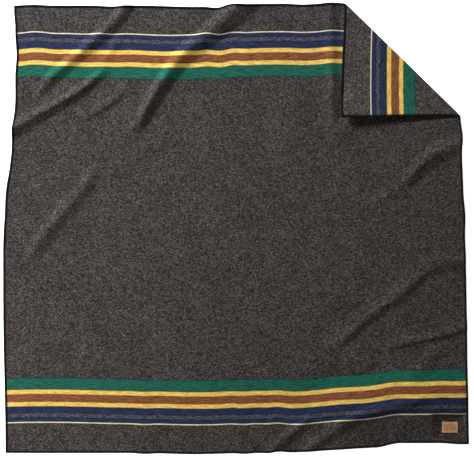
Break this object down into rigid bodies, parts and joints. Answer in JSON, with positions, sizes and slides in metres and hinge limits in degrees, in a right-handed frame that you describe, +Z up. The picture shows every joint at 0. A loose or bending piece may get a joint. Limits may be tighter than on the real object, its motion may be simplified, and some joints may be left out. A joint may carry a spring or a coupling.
{
  "type": "camp blanket",
  "caption": "Striped wool camp blanket lying flat with one corner folded over, whipstitched rim and a small leather patch.",
  "frame": {"origin": "on the surface the blanket lies on, under the middle of its outline", "axes": "+Z up, +X across the blanket along its stripes towards the patch's side, +Y along the blanket towards the end with the folded corner"},
  "size_m": [2.298, 2.2277, 0.0442],
  "materials": {
    "charcoal_wool": "heathered charcoal wool, soft brushed face",
    "heather_wool": "cool grey heathered wool",
    "green_wool": "dyed wool, soft brushed face",
    "gold_wool": "dyed wool, soft brushed face",
    "rust_wool": "dyed wool, soft brushed face",
    "navy_wool": "dyed wool, soft brushed face",
    "cream_wool": "undyed wool, soft brushed face",
    "edging_yarn": "black wool yarn, matt",
    "patch_leather": "tan leather, debossed plain frame",
    "patch_thread": "waxed brown thread"
  },
  "bodies": {
    "blanket": {"centre_ground": "charcoal_wool", "top_end_border": "charcoal_wool", "top_cream_hairline": "cream_wool", "top_outer_navy_stripe": "navy_wool", "top_heather_stripe": "heather_wool", "top_inner_navy_stripe": "navy_wool", "top_outer_gold_stripe": "gold_wool", "top_rust_stripe": "rust_wool", "top_inner_gold_stripe": "gold_wool", "top_green_band": "green_wool", "bottom_end_border": "charcoal_wool", "bottom_cream_hairline": "cream_wool", "bottom_outer_navy_stripe": "navy_wool", "bottom_heather_stripe": "heather_wool", "bottom_inner_navy_stripe": "navy_wool", "bottom_outer_gold_stripe": "gold_wool", "bottom_rust_stripe": "rust_wool", "bottom_inner_gold_stripe": "gold_wool", "bottom_green_band": "green_wool", "left_edge_whipstitch": "edging_yarn", "bottom_edge_whipstitch": "edging_yarn", "right_edge_whipstitch": "edging_yarn", "top_edge_whipstitch": "edging_yarn", "leather_patch": "patch_leather", "patch_stitching": "patch_thread"},
    "corner_flap": {"corner_ground": "charcoal_wool", "corner_end_border": "charcoal_wool", "corner_cream_hairline": "cream_wool", "corner_outer_navy_stripe": "navy_wool", "corner_heather_stripe": "heather_wool", "corner_inner_navy_stripe": "navy_wool", "corner_outer_gold_stripe": "gold_wool", "corner_rust_stripe": "rust_wool", "corner_inner_gold_stripe": "gold_wool", "corner_green_band": "green_wool", "corner_top_edge_whipstitch": "edging_yarn", "corner_right_edge_whipstitch": "edging_yarn"}
  },
  "joints": [
    {"name": "corner_fold", "type": "hinge", "parent": "blanket", "child": "corner_flap", "pos_m": [0.8225, 0.8345, 0.004], "axis": [-0.7158, 0.6983, 0], "range_deg": [0, 175]}
  ]
}
